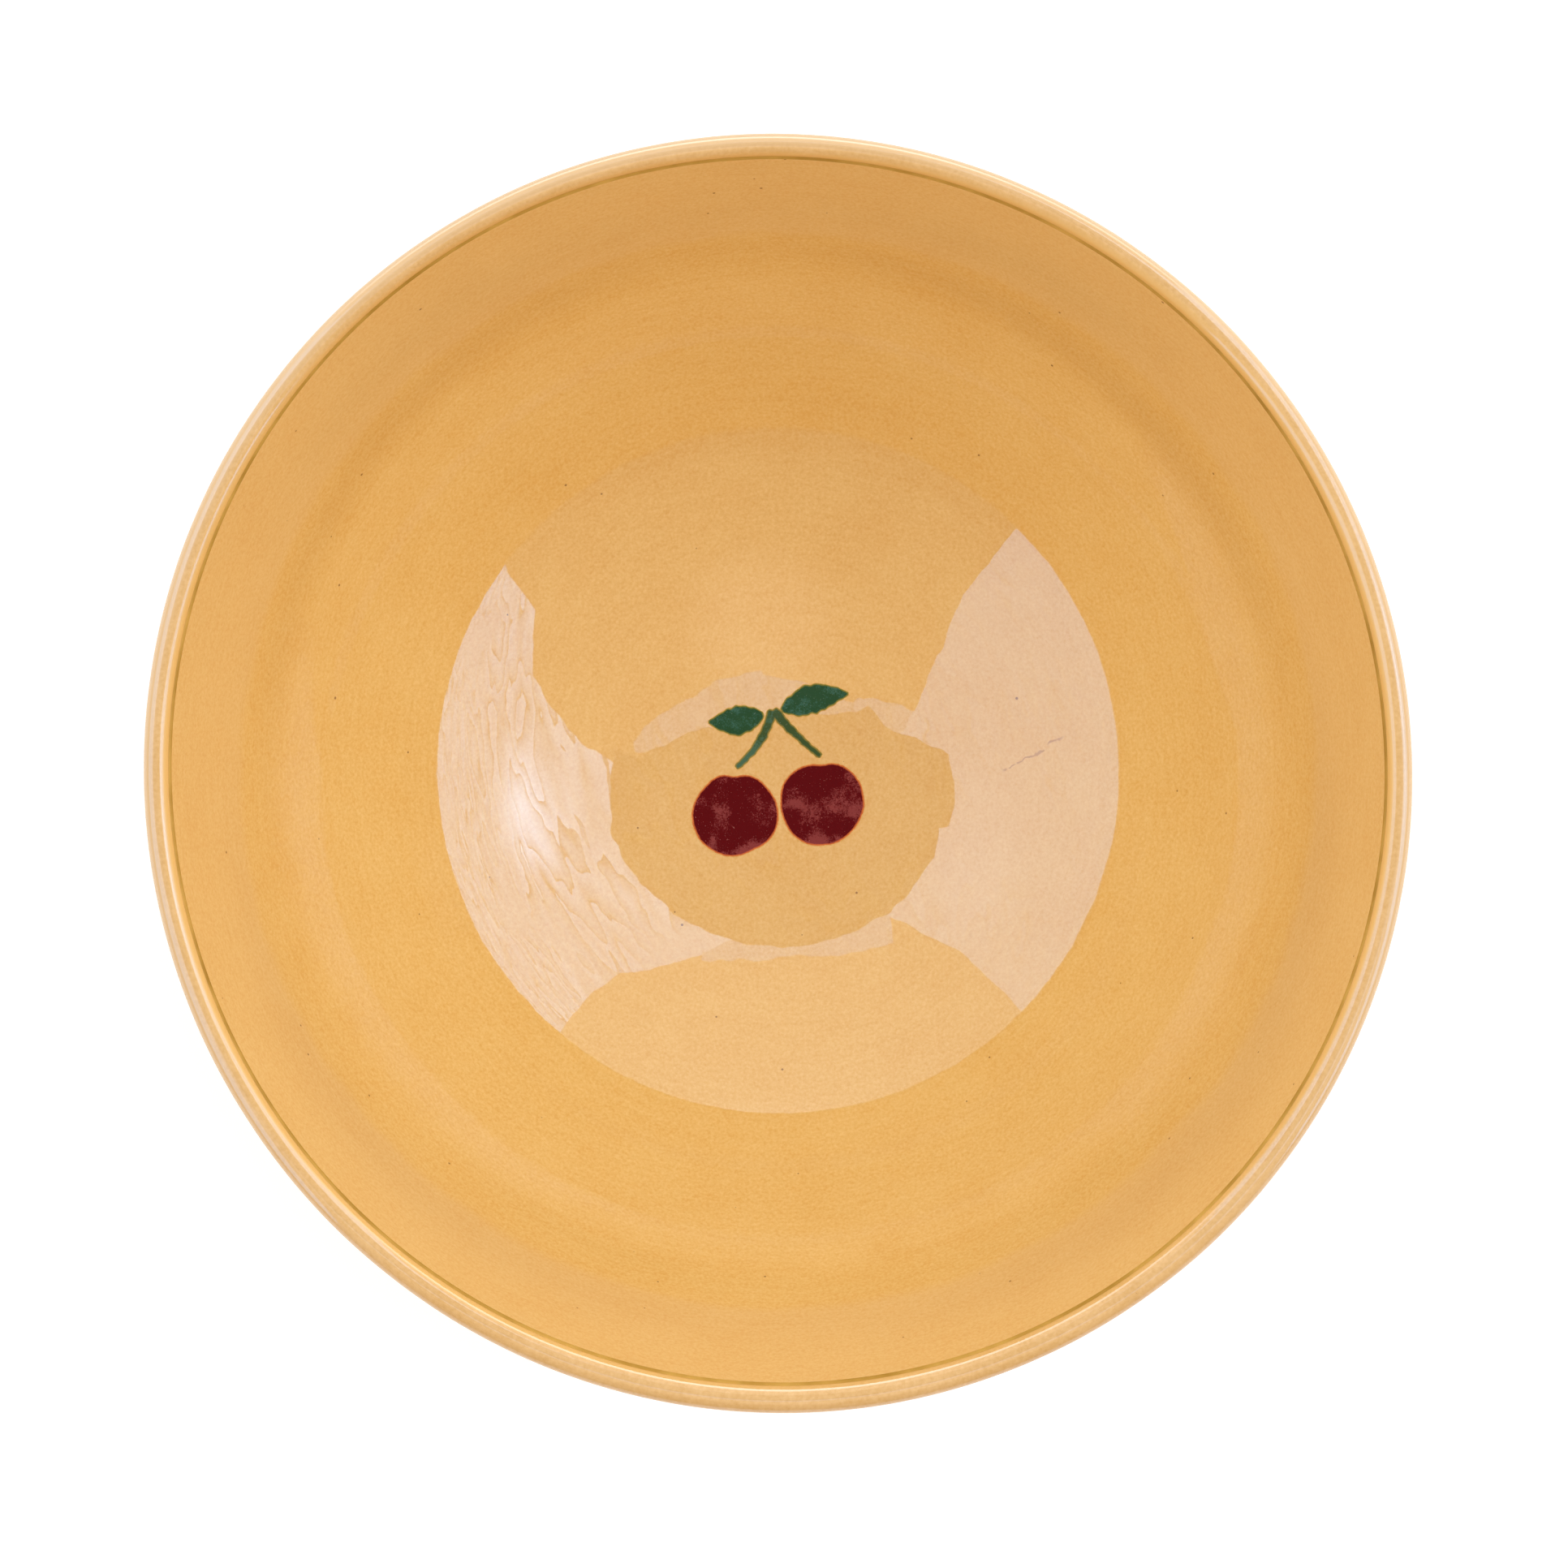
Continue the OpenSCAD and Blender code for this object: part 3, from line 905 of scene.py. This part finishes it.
def stroke(name, midline, half, finish, ragged, across=17):
    """A ribbon of paint along a midline of points, with half its width at each of them."""
    ahead = np.gradient(midline, axis=0)
    ahead /= np.linalg.norm(ahead, axis=1, keepdims=True)
    side = np.stack([-ahead[:, 1], ahead[:, 0]], -1)
    steps = np.linalg.norm(np.diff(midline, axis=0), axis=1)
    length = np.concatenate([[0], np.cumsum(steps)])
    v = np.linspace(-1, 1, across)
    widths = []
    for _ in (0, 1):
        ripple = sum(hand.uniform(0.3, 1) * np.sin(length / size + hand.uniform(0, ripple_turn))
                     for size in ripple_sizes)
        widths.append(half * (1 + ragged * ripple))
    reach = np.where(v[None, :] < 0, widths[0][:, None], widths[1][:, None])
    reach = reach + halo_w * (half > 0)[:, None]
    plan = midline[:, None, :] + side[:, None, :] * (reach * v)[..., None]
    to_end = np.minimum(length, length[-1] - length)[:, None]
    inset = np.minimum(reach * (1 - np.abs(v)), to_end)
    return lay_paint(name, plan, inset, wrapped=False, finish=finish)


def stroke_half(t, full, start_share, end_share, tip=0.08):
    """Half width along a stroke: round at both ends, and between two shares of its full width."""
    ends = np.clip(np.minimum(t, 1 - t) / tip, 0, 1)
    return full / 2 * (start_share + (end_share - start_share) * t) * np.sqrt(1 - (1 - ends) ** 2)


print("a brush edge ripples at", len(ripple_sizes), "sizes")

# %% [markdown]
# ## Paint
# The red is a dark oxblood with a frosty pink bloom in patches, dabbed on with a sponge, so it is
# full of fine pale dots. The bloom grows towards the lower right, and that part is a painted sheen.
# The green runs from bottle green to teal and goes olive where it is thin. Its pale dots are painted
# glints. Both thin out at the edge through a narrow orange or olive rim into the honey glaze, which
# starts exactly where the stroke ends, because both read the same honey function.

# %% Paint finishes
glaze_to_rim = (0.06 * mm, 0.26 * mm)
rim_to_paint = (0.30 * mm, 0.62 * mm)
ragged_w = 0.35 * mm
patch_soft = 0.12
bloom_strength = 0.85
fleck_strength = 0.5
paint_rough, bloom_rough = 0.07, 0.14
paint_relief = 0.02 * mm
paint_mirror = 0.12


def paint_finish(name, dark, pale, rim, dots, patch_share, sheen_amount=0.0):
    """The last argument sets how much more pale bloom the lower right has, a painted sheen."""
    material, tree, spot = start_finish(name)
    inset = tree.named("ShaderNodeAttribute", {"attribute_name": "inset"})["Fac"]
    patches = tree.noise(spot, 6 * mm, seed=31.0)
    sponge = tree.noise(spot, 0.35 * mm, roughness=0.7, seed=32.0)
    xyz = tree.split(spot)
    # Painted sheen: the pale bloom grows towards the lower right.
    sheen_slope = (xyz[0] * 0.3 - xyz[1]) / painting_h * sheen_amount
    bloom = patches + sheen_slope + (sponge - 0.5) * 0.45
    bloom = bloom.step(patch_share, patch_share + patch_soft)
    colour = tree.blend(bloom * bloom_strength, dark, pale)
    # Pale flecks: the sponge's own dots in the red, and painted glints in the greens.
    fleck = tree.noise(spot, 0.3 * mm, detail=2.0, seed=33.0).step(0.66, 0.72)
    colour = tree.blend(fleck * fleck_strength, colour, dots)
    ragged = tree.noise(spot, 0.8 * mm, seed=34.0)
    ragged = inset + (ragged - 0.5) * ragged_w
    colour = tree.blend(ragged.step(*rim_to_paint), rim, colour)
    colour = tree.blend(ragged.step(*glaze_to_rim), honey(tree, spot), colour)
    roughness = paint_rough + bloom * bloom_rough
    return end_finish(material, tree, colour, roughness, sponge, paint_relief, paint_mirror)


oxblood = paint_finish("oxblood_paint", dark=(0.105, 0.002, 0.0018, 1),
                       pale=(0.26, 0.045, 0.042, 1), rim=(0.60, 0.14, 0.035, 1),
                       dots=(0.50, 0.17, 0.15, 1), patch_share=0.60, sheen_amount=0.35)
# The greens' pale dots are painted glints.
leaf_green = paint_finish("leaf_paint", dark=(0.022, 0.07, 0.022, 1), pale=(0.05, 0.14, 0.10, 1),
                          rim=(0.22, 0.20, 0.035, 1), dots=(0.30, 0.40, 0.32, 1),
                          patch_share=0.48)
stalk_green = paint_finish("stalk_paint", dark=(0.05, 0.085, 0.025, 1), pale=(0.07, 0.15, 0.09, 1),
                           rim=(0.26, 0.20, 0.04, 1), dots=(0.30, 0.36, 0.26, 1),
                           patch_share=0.5)
print("paint nodes:", len(oxblood.node_tree.nodes), "in each of three finishes")

# %% [markdown]
# ## Joining strokes that stand for one node
# The frame has one node for both cherries, one for both leaves and one for the stalks. Strokes that
# stand for the same node are joined into one mesh.

# %% The painting's pieces
def joined(name, parts):
    work = bmesh.new()
    for part in parts:
        work.from_mesh(part.data)
    mesh = parts[0].data.copy()
    work.to_mesh(mesh)
    work.free()
    mesh.name = name
    for part in parts:
        bpy.data.objects.remove(part)
    print(f"{name}: {len(parts)} strokes joined")
    return add_object(name, mesh)


cherries = joined("cherries", [cherry("left_cherry", left_cherry, oxblood),
                               cherry("right_cherry", right_cherry, oxblood)])
stand_for(cherries, "painted_cherries")

# %% Leaves
long_turn = math.radians(14)
short_turn = math.radians(188)
long_bow, short_bow = 1.6 * mm, 1.2 * mm
leaf_ragged = 0.05
leaf_forward, leaf_fullness = 0.85, 0.9
leaf_start = knot_d / 2 + brush_gap
leaf_disc_r = (long_leaf**2 + leaf_w**2) / (4 * leaf_w)
leaf_rise = (leaf_start + long_leaf / 2) * math.sin(long_turn) + leaf_w / 2 * math.cos(long_turn)
leaf_rise += leaf_disc_r * (1 - math.cos(long_turn))
knot = np.array([-knot_d / 2, painting_h / 2 - leaf_rise])
along = np.linspace(0, 1, 130)


def leaf(name, length, turn, bow):
    direction = np.array([math.cos(turn), math.sin(turn)])
    square = np.array([-direction[1], direction[0]])
    start = knot + leaf_start * direction
    end = start + length * direction
    midline = curve(start, (start + end) / 2 + bow * square, end, along)
    half = leaf_w / 2 * np.sin(math.pi * along**leaf_forward) ** leaf_fullness
    half[[0, -1]] = 0
    return stroke(name, midline, half, leaf_green, leaf_ragged, across=25)


leaves = joined("leaves", [leaf("long_leaf", long_leaf, long_turn, long_bow),
                           leaf("short_leaf", short_leaf, short_turn, short_bow)])
stand_for(leaves, "painted_leaves")

# %% Stalks
stalk_ragged = 0.09
stalk_widths = (1.5, 0.8)
stalk_end = 0.375
stalk_turns = {"left": (left_cherry, (0.22, 0.6)), "right": (right_cherry, (0.42, 0.5))}
stalks = []
for side_name, (fruit, turn_shares) in stalk_turns.items():
    end = fruit + [0, cherry_d / 2 + brush_gap + stalk_w * stalk_end]
    turning = knot + (end - knot) * turn_shares
    midline = curve(knot + [0, knot_d / 3], turning, end, along)
    half = stroke_half(along, stalk_w, *stalk_widths)
    stalks.append(stroke(side_name + "_stalk", midline, half, stalk_green, stalk_ragged))
stalks = joined("stalks", stalks)
stand_for(stalks, "painted_stalks")

# %% [markdown]
# ## Softboxes
# The photograph was taken in a white tent: an even pale sky, a big softbox on each side, a bright
# seam and a pale fold of cloth between them, and a darker patch overhead where the camera hangs.
# The bowl mirrors them on its floor, the right softbox on the left side and the left one on the
# right. The camera can't see these panels, and the dark patch lights nothing. A panel is given by
# leans: how far a line of sight from the bowl's mouth goes sideways for each metre up. Lamps look
# cooler in a mirror than their light is, because the photograph's brightest places lose red first.

# %% Panels
panel_far = 1.9
panel_steps = 6
mouth = Vector((0, 0, line_z))


def staged(name, corners, faces, places, finish, lights=True):
    mesh = bpy.data.meshes.new(name)
    mesh.from_pydata(corners, [], faces)
    layer = mesh.uv_layers.new(name="place")
    for loop in mesh.loops:
        layer.data[loop.index].uv = places[loop.vertex_index]
    mesh.materials.append(finish)
    made = add_object(name, mesh)
    made.visible_camera = False
    made.visible_diffuse = lights
    print(f"{name}: {len(mesh.polygons)} faces on the stage")


def panel(name, rows, finish):
    """Each row runs from one lean (x, y) to another."""
    corners = []
    places = []
    for x0, y0, x1, y1 in rows:
        for i in range(panel_steps + 1):
            share = i / panel_steps
            way = Vector((x0 + (x1 - x0) * share, y0 + (y1 - y0) * share, 1))
            corners.append(mouth + panel_far * way.normalized())
            places.append((way.x, way.y))
    row = panel_steps + 1
    faces = [(i + j * row, i + 1 + j * row, i + 1 + (j + 1) * row, i + (j + 1) * row)
             for j in range(len(rows) - 1) for i in range(panel_steps)]
    staged(name, corners, faces, places, finish)


# %% Glow of the panels
lamp_light = (0.80, 0.87, 0.92, 1)
lamp_mirror = (0.48, 0.83, 1.24, 1)
fold_count = 13
fold_slant = 0.45
fold_stretch = (2.6, 0.9)
fold_shade = 0.4
crease_w = 0.16
crease_shade = 0.3


def glow_finish(name, even, folds, hot=0.0, hot_place=(0.5, 0.5), hot_size=1.0):
    """even: glow all over. hot: more of it at one place. folds: how creased the cloth looks."""
    material, tree, _ = start_finish(name)
    place = tree.named("ShaderNodeTexCoord")["UV"]
    xyz = tree.split(place)
    across = (xyz[0] - hot_place[0]) / hot_size
    up = (xyz[1] - hot_place[1]) / hot_size
    far = across * across + up * up
    hot_spot = far.math("POWER", math.e, 0 - far)
    slanted = xyz[0] + xyz[1] * fold_slant
    drawn = tree.join(slanted * fold_stretch[0], xyz[1] * fold_stretch[1], 0.0)
    bent = tree.noise(drawn, 1.0, seed=41.0) * fold_count
    fold = bent.math("FRACT", bent)
    crease = fold.step(crease_w, 0.0)
    strong = tree.noise(place, 0.625, detail=1.0, seed=42.0).step(0.3, 0.5)
    cloth = 1 + ((fold - 0.5) * fold_shade - crease * crease_shade) * strong * folds
    strength = (even + hot_spot * hot) * cloth
    mirrored = tree.named("ShaderNodeLightPath")["Is Glossy Ray"]
    colour = tree.blend(mirrored, lamp_light, lamp_mirror)
    glow = tree.node("ShaderNodeEmission", {}, {"Color": colour, "Strength": strength})[0]
    tree.node("ShaderNodeOutputMaterial", {}, {"Surface": glow})
    return material


print(f"a lamp is {lamp_mirror[2] / lamp_mirror[0]:.1f} times as blue as red in a mirror")

# %% The panels
right_rows = [(2.95, -2.43, 2.6, 3.1), (1.906, -1.385, 1.515, 1.805),
              (1.26, -0.84, 0.98, 1.16), (1.12, -0.43, 0.70, 0.90),
              (0.71, -0.08, 0.30, 0.71), (0.3, 0.1, 0.0, 0.5)]
left_rows = [(-3.0, -3.0, -2.6, 2.6), (-1.695, -1.719, -1.396, 1.367),
             (-0.821, -0.782, -0.8, 0.79), (-0.563, -0.352, -0.45, 0.56),
             (-0.4, -0.1, -0.2, 0.4)]
seam_rows = [(0.30, 0.74, -0.45, 0.66), (0.27, 0.50, -0.40, 0.45)]
fold_rows = [(0.51, -0.1, 0.49, -0.06), (0.47, -0.15, 0.45, -0.06),
             (0.3, -0.26, 0.3, -0.1), (0.15, -0.32, 0.14, -0.15),
             (0.02, -0.33, 0.02, -0.17), (-0.13, -0.3, -0.13, -0.16),
             (-0.25, -0.24, -0.25, -0.16), (-0.4, -0.24, -0.4, -0.11),
             (-0.58, -0.17, -0.59, -0.04), (-0.65, -0.08, -0.65, -0.03)]

right_glow = glow_finish("right_glow", even=2.65, folds=1.3, hot=3.0, hot_place=(1.16, 0.19),
                         hot_size=0.24)
left_glow = glow_finish("left_glow", even=2.1, folds=0.35, hot=0.4, hot_place=(-0.75, 0.45),
                        hot_size=0.35)
panel("right_panel", right_rows, right_glow)
panel("left_panel", left_rows, left_glow)
panel("seam", seam_rows, glow_finish("seam_glow", even=1.8, folds=0.3))
panel("fold", fold_rows, glow_finish("fold_glow", even=1.5, folds=0.5))

# %% Dark patch overhead
patch_up = 1.2
patch_leans = [(0.6, -0.07), (0.48, -0.03), (0.42, -0.08), (0.31, -0.13), (0.14, -0.17),
               (0.02, -0.2), (-0.14, -0.19), (-0.31, -0.22), (-0.4, -0.14), (-0.52, -0.09),
               (-0.63, -0.06), (-0.65, 0.07), (-0.64, 0.2), (-0.58, 0.2), (-0.57, 0.32),
               (-0.52, 0.4), (-0.43, 0.52), (-0.3, 0.59), (-0.15, 0.63), (-0.02, 0.65),
               (0.16, 0.63), (0.37, 0.54), (0.52, 0.4), (0.62, 0.24), (0.61, 0.07)]
patch_rise = patch_up - line_z
patch_edge = [(x * patch_rise, y * patch_rise, patch_up) for x, y in patch_leans]
staged("camera_patch", patch_edge, [tuple(range(len(patch_edge)))], patch_leans,
       glow_finish("patch_glow", even=0.45, folds=0.7), lights=False)

# %% [markdown]
# ## Tent and table
# The tent glows evenly, more on the far side, where a window is, and in one lamp above the near
# side. It is warm on the near side and neutral on the far side. A low window shows only in mirrors.
# The camera sees the tent as plain white, like the photograph's ground. The table is white and
# glows a little for the rays that look at it, so it reaches white round the bowl and still keeps a
# soft shadow.

# %% Tent
even_glow = 0.88
far_glow = 0.28
window_glow = 0.9
lamp_glow = 0.5
lamp_place = (0.05, -0.45, 0.89)
low_window_glow = 2.5
near_tint = (1, 0.80, 0.60, 1)
far_tint = (1, 1.03, 1.06, 1)

world = bpy.data.worlds.new("tent")
bpy.context.scene.world = world
sky = blank_tree(world)
ray = sky.named("ShaderNodeLightPath")
way = sky.named("ShaderNodeTexCoord")["Generated"]
_, far_way, up_way = sky.split(way)
low_window = far_way.step(0.55, 0.9) * up_way.step(0.36, 0.30)
lamp_way = sky.vector("DISTANCE", way, lamp_place)
tent_glow = even_glow + far_way * far_glow + far_way.step(0.88, 1.0) * window_glow
tent_glow = tent_glow + lamp_way.step(0.32, 0.1) * lamp_glow
tent_glow = tent_glow + low_window * ray["Is Glossy Ray"] * low_window_glow
seen_white = ray["Is Camera Ray"] + ray["Is Transmission Ray"]
strength = tent_glow + seen_white * (1 - tent_glow)
warmth = sky.blend(far_way * 0.5 + 0.5, near_tint, far_tint)
tint = sky.blend(seen_white, warmth, (1, 1, 1, 1))
tent = sky.node("ShaderNodeBackground", {}, {"Color": tint, "Strength": strength})[0]
sky.node("ShaderNodeOutputWorld", {}, {"Surface": tent})
print("tent:", len(world.node_tree.nodes), "nodes")

# %% Table
table_half = 4.0
table_white = (0.86, 0.86, 0.86, 1)
table_lift = 0.3


def table_finish():
    material, tree, _ = start_finish("table")
    path = tree.named("ShaderNodeLightPath")
    matt = tree.node("ShaderNodeBsdfDiffuse", {}, {"Color": table_white})[0]
    looks = path["Is Camera Ray"] + path["Is Glossy Ray"] + path["Is Transmission Ray"]
    lift = tree.node("ShaderNodeEmission", {}, {"Strength": looks * table_lift})[0]
    both = tree.node("ShaderNodeAddShader", {}, {0: matt, 1: lift})[0]
    tree.node("ShaderNodeOutputMaterial", {}, {"Surface": both})
    return material


table_corners = [(x * table_half, y * table_half, 0)
                 for x, y in ((-1, -1), (1, -1), (1, 1), (-1, 1))]
table_mesh = bpy.data.meshes.new("table")
table_mesh.from_pydata(table_corners, [], [(0, 1, 2, 3)])
table_mesh.materials.append(table_finish())
add_object("table", table_mesh)
bpy.context.scene.view_settings.view_transform = "Standard"
print(f"table {2 * table_half:.0f} m across")
